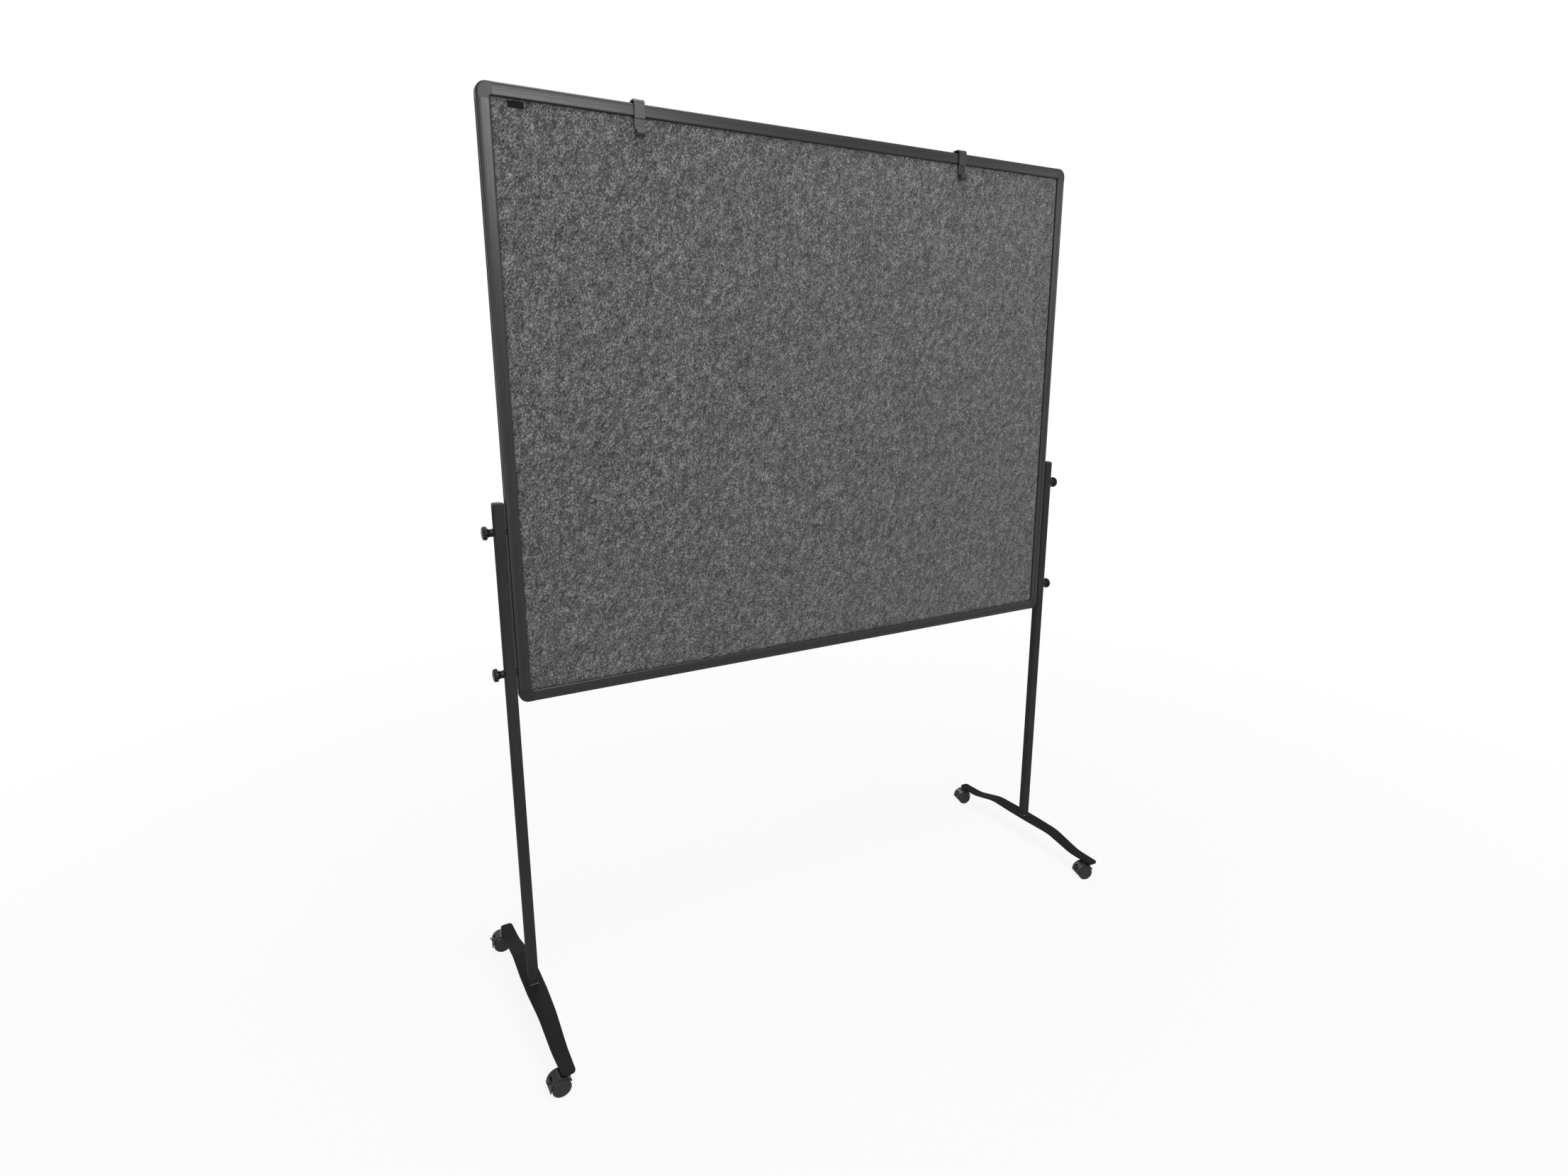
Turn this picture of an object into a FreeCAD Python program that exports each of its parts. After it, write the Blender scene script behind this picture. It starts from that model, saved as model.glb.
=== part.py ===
import FreeCAD, Part
import math
import os

# Mobile pinboard: a felt-covered board held between two wheeled stands by four hand knobs.
# Millimetres, +Z up. The origin is on the floor under the middle of the board, the front faces -Y.

# Fits
overrun = 1.0
running_clearance = 0.05
loose_clearance = 0.3

# Board and frame rails
board_width = 1500.0
board_height = 1200.0
board_depth = 22.0
inner_band = 15.0
outer_band = 10.0
rail_wall = 1.6
rail_edge_radius = 4.0
rail_crown_radius = 32.0
rail_lip_radius = 3.0
chamber_radius = 1.0
groove_spacing = 4.0
groove_width = 0.8
groove_depth = 0.6
chamber_lead = 1.4
track_clearance = 0.5

# Corner pieces
corner_outer_radius = 20.0
corner_inner_radius = 4.0
corner_land = 1.0
plug_length = 18.0
plug_clearance = 0.1

# Core, felts and label tab
core_thickness = 8.0
felt_thickness = 3.0
felt_pinch = 0.6
panel_clearance = 0.5
label_width = 30.0
label_height = 12.0
label_thickness = 0.8
label_side_gap = 31.0
label_top_gap = 3.0

# Paper hooks
hook_left_place = -438.0
hook_right_place = 395.0
hook_width = 22.0
hook_thickness = 2.5
hook_standoff = 0.5
hook_headroom = 5.5
hook_pad_gap = 2.6
hook_bearing_width = 3.0
hook_bearing_inset = 0.4
hook_felt_gap = 0.7
hook_plate_drop = 19.0
hook_drop = 36.0
hook_throat = 7.5
hook_tip_rise = 15.5
hook_tip_radius = 7.0
hook_bend_share = 0.95
tongue_inset = 2.0
rib_count = 4
rib_pitch = 2.9
rib_height = 1.3
rib_depth = 0.6
rib_drop = 7.0

# Legs and caps
leg_size = 22.0
leg_wall = 1.5
leg_inner_radius = 1.5
leg_gap = 3.0
leg_head = 56.0
base_block_height = 20.0
cap_rim_height = 1.5
cap_dome_height = 4.5
cap_edge_radius = 2.5
cap_plug_length = 15.0
cap_plug_clearance = 0.2

# Clamps
clamp_height = 744.0
clamp_pitch = 300.0
stud_diameter = 6.0
stud_end_gap = 2.4
stud_hold = 12.0
nut_thickness = 5.0
nut_length = 28.0
nut_side_clearance = 1.4
nut_end_gap = 6.0
spacer_inset = 0.4
knob_length = 24.5
knob_neck_diameter = 16.5
knob_head_diameter = 28.0
knob_rim_radius = 4.0
knob_dome_height = 1.2
knob_flute_radius = 2.2
knob_flute_depth = 1.1
knob_flute_count = 14
knob_foot_diameter = 20.5
knob_foot_height = 3.0
knob_neck_share = 0.33
knob_flare_share = 0.6

# Feet and their bolts
foot_length = 560.0
foot_width = 44.0
foot_end_width = 28.0
foot_parallel_length = 70.0
foot_thickness = 4.0
foot_drop = 22.0
foot_tab_length = 73.0
foot_slope_angle = 14.0
foot_bend_radius = 150.0
foot_corner_radius = 9.0
stem_end_distance = 20.0
seat_floor = 1.0
bolt_diameter = 6.0
bolt_grip = 12.0
bolt_edge_distance = 5.0
bolt_head_diameter = 10.0
bolt_head_height = 5.0
bolt_socket_size = 4.0
bolt_socket_depth = 2.5

# Casters
wheel_diameter = 40.0
wheel_width = 13.0
wheel_side_gap = 0.6
wheel_bevel_width = 2.6
wheel_bevel_depth = 1.4
wheel_face_wall = 3.0
wheel_edge_chamfer = 0.5
axle_diameter = 6.0
axle_end_gap = 0.5
caster_trail = 16.0
hood_clearance = 1.0
hood_thickness = 3.0
hood_setback = 1.0
hood_edge_radius = 0.8
hood_headroom = 1.0
hub_diameter = 16.0
web_wall = 1.35
stem_diameter = 6.0
stem_foot_rise = 6.0
stem_floor = 2.0
collar_diameter = 14.0
collar_height = 3.0
boss_skirt = 11.0
hood_start_angle = 25.0
hood_end_angle = 186.0
left_front_turn = 0.0
left_back_turn = -8.0
right_front_turn = -19.0
right_back_turn = -15.0

# Brake levers
lever_width = 14.0
lever_knuckle_diameter = 2.6
lever_pin_diameter = 1.8
lever_pin_length = 2.2
lever_lift = 0.35
lever_well = 0.5
fin_reach = 7.0
fin_width = 7.0
window_start_angle = 129.0
window_end_angle = 172.0
lever_pivot_angle = 146.0
lever_end_angle = 168.0
fin_tip_angle = 152.0
fin_end_angle = 164.0

# Sizes that follow from the ones above
half_width = board_width / 2
half_depth = board_depth / 2
rail_face = inner_band + outer_band
chamber_start = inner_band - chamber_lead
panel_slot_depth = chamber_start - rail_wall
panel_edge = rail_face - panel_slot_depth + panel_clearance
lip_inner = core_thickness / 2 + felt_thickness - felt_pinch
felt_face = core_thickness / 2 + felt_thickness
crown_angle = math.asin((outer_band - rail_edge_radius) / (rail_crown_radius - rail_edge_radius))
crown_centre = half_depth - rail_crown_radius
outer_flat = crown_centre + (rail_crown_radius - rail_edge_radius) * math.cos(crown_angle)
corner_reach = rail_face + corner_inner_radius + corner_land
clamp_edge_distance = corner_reach + plug_length + nut_end_gap + nut_length / 2
wheel_radius = wheel_diameter / 2
hood_inner = wheel_radius + hood_clearance
hood_outer = hood_inner + hood_thickness
web_half_width = stem_diameter / 2 + running_clearance + web_wall
wheel_inner = web_half_width + wheel_side_gap
wheel_outer = wheel_inner + wheel_width
hood_half_width = wheel_outer - hood_setback
boss_top = wheel_radius + hood_outer + hood_headroom
caster_height = boss_top + collar_height
leg_base = caster_height + foot_thickness + foot_drop
leg_top = leg_base + clamp_height + clamp_pitch + leg_head
leg_corner_radius = leg_inner_radius + leg_wall
leg_place = half_width + leg_gap + leg_size / 2
leg_outer = leg_place + leg_size / 2
clamp_low = leg_base + clamp_height
clamp_high = clamp_low + clamp_pitch
board_bottom = clamp_low - clamp_edge_distance
board_top = board_bottom + board_height
board_middle = board_bottom + board_height / 2
stem_place = foot_length / 2 - stem_end_distance
seat_depth = foot_thickness - seat_floor
stud_radius = stud_diameter / 2
stud_hole_radius = stud_radius + loose_clearance
bolt_place = leg_size / 2 - bolt_edge_distance


def vec(x, y, z):
    return FreeCAD.Vector(x, y, z)


def line(a, b):
    return Part.LineSegment(a, b).toShape()


def arc(a, b, c):
    return Part.Arc(a, b, c).toShape()


def box(x0, x1, y0, y1, z0, z1):
    return Part.makeBox(x1 - x0, y1 - y0, z1 - z0, vec(x0, y0, z0))


def rod(radius, start, direction, length):
    return Part.makeCylinder(radius, length, start, direction)


def moved(shape, x, y, z):
    copy = shape.copy()
    copy.translate(vec(x, y, z))
    return copy


def turned(shape, axis, angle):
    copy = shape.copy()
    copy.rotate(vec(0, 0, 0), axis, angle)
    return copy


def sided(shape, side):
    if side > 0:
        return shape.copy()
    return shape.mirror(vec(0, 0, 0), vec(1, 0, 0))


def rounded_face(points, radii):
    joints = []
    for i, corner in enumerate(points):
        if radii[i] == 0:
            joints.append((corner, None, corner))
            continue
        back = (points[i - 1] - corner).normalize()
        ahead = (points[(i + 1) % len(points)] - corner).normalize()
        half = back.getAngle(ahead) / 2
        reach = radii[i] / math.tan(half)
        crest = radii[i] / math.sin(half) - radii[i]
        middle = (back + ahead).normalize()
        joints.append((corner + back * reach, corner + middle * crest, corner + ahead * reach))
    edges = []
    for i, (first, crest, last) in enumerate(joints):
        if crest is not None:
            edges.append(arc(first, crest, last))
        edges.append(line(last, joints[(i + 1) % len(joints)][0]))
    return Part.Face(Part.Wire(edges))


def rounded_plate(half_x, half_z, radius, y0, y1):
    points = [vec(-half_x, y0, -half_z), vec(half_x, y0, -half_z)]
    points += [vec(half_x, y0, half_z), vec(-half_x, y0, half_z)]
    return moved(rounded_face(points, [radius] * 4).extrude(vec(0, y1 - y0, 0)), 0, 0, board_middle)


def square_bar(half, radius, z0, z1):
    points = [vec(-half, -half, z0), vec(half, -half, z0), vec(half, half, z0), vec(-half, half, z0)]
    return rounded_face(points, [radius] * 4).extrude(vec(0, 0, z1 - z0))


def save(shape, name):
    shape.exportStep("parts/%s.step" % name)


os.makedirs("parts", exist_ok=True)


# Frame rails: hollow extrusions, drawn with their inner lip at X = 0, their outer face toward +X
# and their length along Z. Two fine grooves part the flat inner band from the crowned outer band.
def rail_section(inner_edge, inset, lip_radius):
    def crown(share, side):
        angle = crown_angle * share
        reach = rail_crown_radius - inset
        return vec(inner_band + reach * math.sin(angle), side * (crown_centre + reach * math.cos(angle)), 0)

    def edge(share, side):
        angle = crown_angle + (math.pi / 2 - crown_angle) * share
        reach = rail_edge_radius - inset
        across = rail_face - rail_edge_radius + reach * math.sin(angle)
        return vec(across, side * (outer_flat + reach * math.cos(angle)), 0)

    def lip(share, side):
        angle = math.pi / 2 * share
        across = inner_edge + lip_radius * (1 - math.cos(angle))
        return vec(across, side * (half_depth - inset - lip_radius * (1 - math.sin(angle))), 0)

    edges = [arc(lip(0, -1), lip(0.5, -1), lip(1, -1)), line(lip(1, -1), crown(0, -1))]
    edges.append(arc(crown(0, -1), crown(0.5, -1), crown(1, -1)))
    edges.append(arc(edge(0, -1), edge(0.5, -1), edge(1, -1)))
    edges.append(line(edge(1, -1), edge(1, 1)))
    edges.append(arc(edge(1, 1), edge(0.5, 1), edge(0, 1)))
    edges.append(arc(crown(1, 1), crown(0.5, 1), crown(0, 1)))
    edges.append(line(crown(0, 1), lip(1, 1)))
    edges.append(arc(lip(1, 1), lip(0.5, 1), lip(0, 1)))
    edges.append(line(lip(0, 1), lip(0, -1)))
    return Part.Face(Part.Wire(edges))


def rail(length, has_track):
    half = length / 2
    end = half + overrun
    body = moved(rail_section(0, 0, rail_lip_radius).extrude(vec(0, 0, length)), 0, 0, -half)
    chamber = rail_section(chamber_start, rail_wall, chamber_radius).extrude(vec(0, 0, 2 * end))
    cuts = [moved(chamber, 0, 0, -end)]
    cuts.append(box(-overrun, panel_slot_depth, -lip_inner, lip_inner, -end, end))
    for place in (inner_band, inner_band - groove_spacing):
        near = place - groove_width / 2
        far = place + groove_width / 2
        cuts.append(box(near, far, -half_depth - overrun, groove_depth - half_depth, -end, end))
        cuts.append(box(near, far, half_depth - groove_depth, half_depth + overrun, -end, end))
    if has_track:
        track = stud_radius + track_clearance
        inside = rail_face - rail_wall - overrun
        cuts.append(box(inside, rail_face + overrun, -track, track, -end, end))
    return body.cut(cuts)


side_rail = moved(rail(board_height - 2 * corner_reach, True), half_width - rail_face, 0, board_middle)
save(side_rail, "rail_right")
save(sided(side_rail, -1), "rail_left")
cross_rail = rail(board_width - 2 * corner_reach, False)
save(moved(turned(cross_rail, vec(0, 1, 0), -90), 0, 0, board_top - rail_face), "rail_top")
save(moved(turned(cross_rail, vec(0, 1, 0), 90), 0, 0, board_bottom + rail_face), "rail_bottom")


# Corner pieces: an L with rounded outer and inner edges, a slot for the panel's corner and two plugs
# that fit the chambers of the rails.
def rims(body, corner_x, corner_z, radius):
    centre_x = corner_x - radius
    centre_z = corner_z - radius
    chosen = []
    for edge in body.Edges:
        middle = edge.valueAt((edge.FirstParameter + edge.LastParameter) / 2)
        outward = math.hypot(max(middle.x - centre_x, 0), max(middle.z - centre_z, 0))
        if abs(middle.y) > lip_inner and abs(outward - radius) < running_clearance:
            chosen.append(edge)
    return chosen


def corner_piece():
    end = half_width - corner_reach
    low = board_top - corner_reach
    inner_x = half_width - rail_face
    inner_z = board_top - rail_face
    points = [vec(end, -half_depth, board_top), vec(half_width, -half_depth, board_top)]
    points += [vec(half_width, -half_depth, low), vec(inner_x, -half_depth, low)]
    points += [vec(inner_x, -half_depth, inner_z), vec(end, -half_depth, inner_z)]
    radii = [0, corner_outer_radius, 0, 0, corner_inner_radius, 0]
    body = rounded_face(points, radii).extrude(vec(0, board_depth, 0))
    body = body.makeFillet(rail_edge_radius, rims(body, half_width, board_top, corner_outer_radius))
    body = body.makeFillet(rail_lip_radius, rims(body, inner_x, inner_z, corner_inner_radius))
    slot_x = half_width - rail_face + panel_slot_depth
    slot_z = board_top - rail_face + panel_slot_depth
    body = body.cut(box(end - overrun, slot_x, -lip_inner, lip_inner, low - overrun, slot_z))
    section = rail_section(chamber_start + plug_clearance, rail_wall + plug_clearance, chamber_radius)
    plug = moved(section.extrude(vec(0, 0, plug_length + overrun)), 0, 0, -overrun)
    cross_plug = moved(turned(plug, vec(0, 1, 0), -90), end, 0, inner_z)
    side_plug = moved(turned(plug, vec(1, 0, 0), 180), inner_x, 0, low)
    return body.fuse([cross_plug, side_plug]).removeSplitter()


corner = corner_piece()
low_corner = corner.mirror(vec(0, 0, board_middle), vec(0, 0, 1))
for side_name, side in (("left", -1), ("right", 1)):
    save(sided(corner, side), "corner_top_%s" % side_name)
    save(sided(low_corner, side), "corner_bottom_%s" % side_name)


# Panel: a core between two felts. The felts are squeezed under the lips of the rails and swell to
# their full thickness in the open field.
panel_half_x = half_width - panel_edge
panel_half_z = board_height / 2 - panel_edge
field_half_x = half_width - rail_face - loose_clearance
field_half_z = board_height / 2 - rail_face - loose_clearance
core_z0 = board_middle - panel_half_z
core_z1 = board_middle + panel_half_z
core_half = core_thickness / 2
save(box(-panel_half_x, panel_half_x, -core_half, core_half, core_z0, core_z1), "core_board")
rim = box(-panel_half_x, panel_half_x, -lip_inner, -core_half, core_z0, core_z1)
field_radius = corner_inner_radius - loose_clearance
field = rounded_plate(field_half_x, field_half_z, field_radius, -felt_face, -core_half)
felt = rim.fuse(field).removeSplitter()
save(felt, "felt_front")
save(felt.mirror(vec(0, 0, 0), vec(0, 1, 0)), "felt_back")

# Label tab: a bare tab glued under the top lip, near the left rail.
label_x = rail_face + label_side_gap - half_width
label_z = board_top - rail_face - label_top_gap
label_front = -felt_face - label_thickness
label = box(label_x, label_x + label_width, label_front, -felt_face, label_z - label_height, label_z)
save(label, "label_tab")


# Paper hooks: clips that arch over the top rail, catch under its front lip and end in a forward hook.
def paper_hook():
    lip = board_top - rail_face
    half = hook_width / 2
    inner = half_depth + hook_standoff
    outer = inner + hook_thickness
    plate_back = felt_face + label_thickness + hook_felt_gap
    plate_front = plate_back + hook_thickness
    ceiling = board_top + hook_headroom
    crest = ceiling + hook_thickness
    ledge = lip - loose_clearance
    ledge_bottom = ledge - hook_thickness
    side = [(-outer, ledge_bottom), (-outer, crest), (outer, crest), (outer, lip), (inner, lip)]
    side += [(inner, ceiling), (-inner, ceiling), (-inner, ledge), (-plate_back, ledge)]
    side += [(-plate_back, ledge_bottom)]
    arch = hook_headroom + hook_thickness
    radii = [0, arch, arch, 0, 0, hook_headroom, hook_headroom, 0, 0, 0]
    clip = rounded_face([vec(-half, y, z) for y, z in side], radii).extrude(vec(hook_width, 0, 0))
    pad_top = lip + inner_band - groove_spacing - groove_width / 2 - hook_pad_gap
    pieces = [box(-half, half, -inner, -half_depth, lip, pad_top)]
    pieces.append(box(-half, half, half_depth, inner, lip, pad_top))
    bearing = outer_flat - hook_bearing_inset
    bearing_half = hook_bearing_width / 2
    pieces.append(box(-bearing_half, bearing_half, -bearing, bearing, board_top, crest - hook_thickness / 2))
    plate_bottom = lip - hook_plate_drop
    pieces.append(box(-half, half, -plate_front, -plate_back, plate_bottom, ledge))
    for i in range(rib_count):
        rib_top = lip - rib_drop - i * rib_pitch
        rib_front = plate_front + rib_depth
        pieces.append(box(-half, half, -rib_front, -plate_front, rib_top - rib_height, rib_top))
    bottom = lip - hook_drop
    inside = bottom + hook_thickness
    tip = bottom + hook_tip_rise
    tip_back = plate_front + hook_throat
    tip_front = tip_back + hook_thickness
    tongue = half - tongue_inset
    top = plate_bottom + hook_thickness
    side = [(-plate_back, top), (-plate_back, bottom), (-tip_front, bottom), (-tip_front, tip)]
    side += [(-tip_back, tip), (-tip_back, inside), (-plate_front, inside), (-plate_front, top)]
    outer_bend = (tip_front - plate_back) / 2 * hook_bend_share
    inner_bend = hook_throat / 2 * hook_bend_share
    radii = [0, outer_bend, outer_bend, 0, 0, inner_bend, inner_bend, 0]
    curl = rounded_face([vec(-tongue, y, z) for y, z in side], radii).extrude(vec(2 * tongue, 0, 0))
    high = [e for e in curl.Edges if e.BoundBox.ZMin > tip - running_clearance]
    ends = [e for e in high if abs(e.CenterOfMass.x) > tongue / 2 and e.CenterOfMass.y < -plate_front]
    pieces.append(curl.makeFillet(hook_tip_radius, ends))
    return clip.fuse(pieces).removeSplitter()


hook = paper_hook()
save(moved(hook, hook_left_place, 0, 0), "paper_hook_left")
save(moved(hook, hook_right_place, 0, 0), "paper_hook_right")


# Legs: square tubes closed below by a welded block with two threaded holes.
def leg():
    inner_half = leg_size / 2 - leg_wall
    body = square_bar(leg_size / 2, leg_corner_radius, leg_base, leg_top)
    cuts = [square_bar(inner_half, leg_inner_radius, leg_base + base_block_height, leg_top + overrun)]
    for z in (clamp_low, clamp_high):
        start = vec(-leg_size / 2 - overrun, 0, z)
        cuts.append(rod(stud_hole_radius, start, vec(1, 0, 0), leg_size + 2 * overrun))
    for place in (-bolt_place, bolt_place):
        start = vec(place, place, leg_base - overrun)
        cuts.append(rod(bolt_diameter / 2 + running_clearance, start, vec(0, 0, 1), bolt_grip + 2 * overrun))
    return body.cut(cuts)


# Leg caps: domed tops with soft edges and a plug inside the tube.
def leg_cap():
    top = leg_top + cap_rim_height + cap_dome_height
    diagonal = leg_size / math.sqrt(2)
    dome = (diagonal * diagonal / cap_dome_height + cap_dome_height) / 2
    body = square_bar(leg_size / 2, leg_corner_radius, leg_top, top)
    body = body.common(Part.makeSphere(dome, vec(0, 0, top - dome)))
    soft_edges = [e for e in body.Edges if e.BoundBox.ZMin > leg_top + cap_rim_height]
    body = body.makeFillet(cap_edge_radius, soft_edges)
    plug_half = leg_size / 2 - leg_wall - cap_plug_clearance
    plug = square_bar(plug_half, leg_inner_radius, leg_top - cap_plug_length, leg_top + overrun)
    return body.fuse(plug).removeSplitter()


# Feet: steel strips bent down to both ends and tapering in plan, with blind seats for the stems.
def foot():
    half = foot_length / 2
    slope = math.radians(foot_slope_angle)
    far_knee = half - foot_tab_length
    near_knee = far_knee - foot_drop / math.tan(slope)
    mitre = foot_thickness / 2 * math.tan(slope / 2)
    high = leg_base - foot_thickness / 2
    low = high - foot_drop
    near_radius = foot_bend_radius + foot_thickness / 2
    far_radius = foot_bend_radius - foot_thickness / 2
    points = []
    for side in (1, -1):
        rise = side * foot_thickness / 2
        run = [(half, low), (far_knee + side * mitre, low), (near_knee + side * mitre, high)]
        points += [vec(0, -side * y, z + rise) for y, z in run]
        points += [vec(0, side * y, z + rise) for y, z in reversed(run)]
    top_radii = [0, far_radius, near_radius, near_radius, far_radius, 0]
    under_radii = [0, near_radius, far_radius, far_radius, near_radius, 0]
    strip = rounded_face(points, top_radii + under_radii).extrude(vec(foot_width, 0, 0))
    strip = moved(strip, -foot_width / 2, 0, 0)
    wide = foot_width / 2
    narrow = foot_end_width / 2
    waist = foot_parallel_length / 2
    outline = [vec(-narrow, -half, 0), vec(narrow, -half, 0), vec(wide, -waist, 0), vec(wide, waist, 0)]
    outline += [vec(narrow, half, 0), vec(-narrow, half, 0), vec(-wide, waist, 0), vec(-wide, -waist, 0)]
    end_radii = [foot_corner_radius, foot_corner_radius, 0, 0]
    body = strip.common(rounded_face(outline, end_radii + end_radii).extrude(vec(0, 0, leg_base + overrun)))
    hole_radius = bolt_diameter / 2 + loose_clearance
    seat_radius = stem_diameter / 2 + running_clearance
    cuts = []
    for side in (-1, 1):
        hole = vec(side * bolt_place, side * bolt_place, leg_base - foot_thickness - overrun)
        cuts.append(rod(hole_radius, hole, vec(0, 0, 1), foot_thickness + 2 * overrun))
        seat = vec(0, side * stem_place, caster_height - overrun)
        cuts.append(rod(seat_radius, seat, vec(0, 0, 1), seat_depth + overrun))
    return body.cut(cuts)


def foot_bolt(place):
    under = leg_base - foot_thickness
    head_bottom = under - bolt_head_height
    head = rod(bolt_head_diameter / 2, vec(0, 0, head_bottom), vec(0, 0, 1), bolt_head_height)
    shank_length = foot_thickness + bolt_grip + overrun
    shank = rod(bolt_diameter / 2, vec(0, 0, under - overrun), vec(0, 0, 1), shank_length)
    radius = bolt_socket_size / math.sqrt(3)
    corners = []
    for i in range(7):
        angle = i * math.pi / 3
        corners.append(vec(radius * math.cos(angle), radius * math.sin(angle), head_bottom - overrun))
    socket = Part.Face(Part.makePolygon(corners)).extrude(vec(0, 0, bolt_socket_depth + overrun))
    return moved(head.fuse(shank).cut(socket).removeSplitter(), place, place, 0)


def caster_stem(y):
    collar = rod(collar_diameter / 2, vec(0, y, boss_top), vec(0, 0, 1), collar_height)
    start = wheel_radius + stem_foot_rise
    stem = rod(stem_diameter / 2, vec(0, y, start), vec(0, 0, 1), caster_height + seat_depth - start)
    return collar.fuse(stem).removeSplitter()


def clamp_spacer(z):
    start = vec(half_width, 0, z)
    ring = rod(outer_flat - spacer_inset, start, vec(1, 0, 0), leg_gap)
    return ring.cut(rod(stud_hole_radius, start - vec(overrun, 0, 0), vec(1, 0, 0), leg_gap + 2 * overrun))


leg_shape = leg()
cap_shape = leg_cap()
foot_shape = foot()
bolts = Part.makeCompound([foot_bolt(-bolt_place), foot_bolt(bolt_place)])
stems = Part.makeCompound([caster_stem(-stem_place), caster_stem(stem_place)])
spacers = Part.makeCompound([clamp_spacer(clamp_low), clamp_spacer(clamp_high)])
for side_name, side in (("left", -1), ("right", 1)):
    place = side * leg_place
    save(moved(leg_shape, place, 0, 0), "leg_%s" % side_name)
    save(moved(cap_shape, place, 0, 0), "leg_cap_%s" % side_name)
    save(moved(foot_shape, place, 0, 0), "foot_%s" % side_name)
    save(moved(bolts, place, 0, 0), "foot_bolts_%s" % side_name)
    save(moved(stems, place, 0, 0), "caster_stems_%s" % side_name)
    save(sided(spacers, side), "clamp_spacers_%s" % side_name)


# Hand knobs: a neck that flares from the leg's outer face into a domed, fluted head, drawn along +Z.
def knob():
    neck = knob_neck_diameter / 2
    head = knob_head_diameter / 2
    neck_end = knob_length * knob_neck_share
    flare_end = knob_length * knob_flare_share
    flare = head - neck
    flare_radius = (flare ** 2 + (flare_end - neck_end) ** 2) / (2 * flare)
    flare_angle = math.atan2(flare_end - neck_end, flare_radius - flare) / 2
    flare_crest_x = neck + flare_radius * (1 - math.cos(flare_angle))
    flare_crest = vec(flare_crest_x, 0, neck_end + flare_radius * math.sin(flare_angle))
    rim_end = knob_length - knob_dome_height
    rim_start = rim_end - knob_rim_radius
    face_edge = head - knob_rim_radius
    rim_bend = knob_rim_radius * math.sqrt(0.5)
    rim_crest = vec(face_edge + rim_bend, 0, rim_start + rim_bend)
    dome_radius = (face_edge ** 2 + knob_dome_height ** 2) / (2 * knob_dome_height)
    dome_angle = math.asin(face_edge / dome_radius) / 2
    dome_crest_z = knob_length - dome_radius * (1 - math.cos(dome_angle))
    dome_crest = vec(dome_radius * math.sin(dome_angle), 0, dome_crest_z)
    seat = vec(0, 0, 0)
    summit = vec(0, 0, knob_length)
    foot_rim = vec(knob_foot_diameter / 2, 0, 0)
    neck_start = vec(neck, 0, knob_foot_height)
    edges = [line(seat, foot_rim), line(foot_rim, neck_start), line(neck_start, vec(neck, 0, neck_end))]
    edges.append(arc(vec(neck, 0, neck_end), flare_crest, vec(head, 0, flare_end)))
    edges.append(line(vec(head, 0, flare_end), vec(head, 0, rim_start)))
    edges.append(arc(vec(head, 0, rim_start), rim_crest, vec(face_edge, 0, rim_end)))
    edges.append(arc(vec(face_edge, 0, rim_end), dome_crest, summit))
    edges.append(line(summit, seat))
    body = Part.Face(Part.Wire(edges)).revolve(seat, vec(0, 0, 1), 360)
    flute_start = vec(head + knob_flute_radius - knob_flute_depth, 0, neck_end)
    flute = rod(knob_flute_radius, flute_start, vec(0, 0, 1), knob_length - neck_end)
    flutes = [turned(flute, vec(0, 0, 1), i * 360 / knob_flute_count) for i in range(knob_flute_count)]
    bore = rod(stud_radius + running_clearance, vec(0, 0, -overrun), vec(0, 0, 1), stud_hold + overrun)
    return body.cut(flutes + [bore])


knob_shape = moved(turned(knob(), vec(0, 1, 0), 90), leg_outer, 0, 0)
wall_inside = half_width - rail_wall
stud_tip = half_width - rail_face + chamber_start + stud_end_gap
stud_shape = rod(stud_radius, vec(stud_tip, 0, 0), vec(1, 0, 0), leg_outer + stud_hold - stud_tip)
nut_half_width = half_depth - rail_wall - nut_side_clearance
nut_x = wall_inside - nut_thickness
nut_land = outer_flat - loose_clearance
nut_bevel_x = wall_inside - nut_half_width + nut_land
nut_edge = [(nut_x, nut_half_width), (nut_bevel_x, nut_half_width), (wall_inside, nut_land)]
nut_edge += [(wall_inside, -nut_land), (nut_bevel_x, -nut_half_width), (nut_x, -nut_half_width)]
nut_edge.append(nut_edge[0])
nut_face = Part.Face(Part.makePolygon([vec(x, y, -nut_length / 2) for x, y in nut_edge]))
nut_shape = nut_face.extrude(vec(0, 0, nut_length))
nut_hole_start = vec(nut_x - overrun, 0, 0)
nut_hole = rod(stud_radius + running_clearance, nut_hole_start, vec(1, 0, 0), nut_thickness + 2 * overrun)
nut_shape = nut_shape.cut(nut_hole)
for side_name, side in (("left", -1), ("right", 1)):
    for level_name, z in (("lower", clamp_low), ("upper", clamp_high)):
        save(moved(sided(knob_shape, side), 0, 0, z), "knob_%s_%s" % (side_name, level_name))
        save(moved(sided(stud_shape, side), 0, 0, z), "stud_%s_%s" % (side_name, level_name))
        save(moved(sided(nut_shape, side), 0, 0, z), "nut_%s_%s" % (side_name, level_name))


# Casters: twin wheels on a hooded housing that swivels on the stem, drawn with the stem on the
# Z axis and the wheels trailing toward -X. Angles run about the axle from +X upward.
def polar(radius, angle, y):
    turn = math.radians(angle)
    return vec(radius * math.cos(turn) - caster_trail, y, wheel_radius + radius * math.sin(turn))


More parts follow.
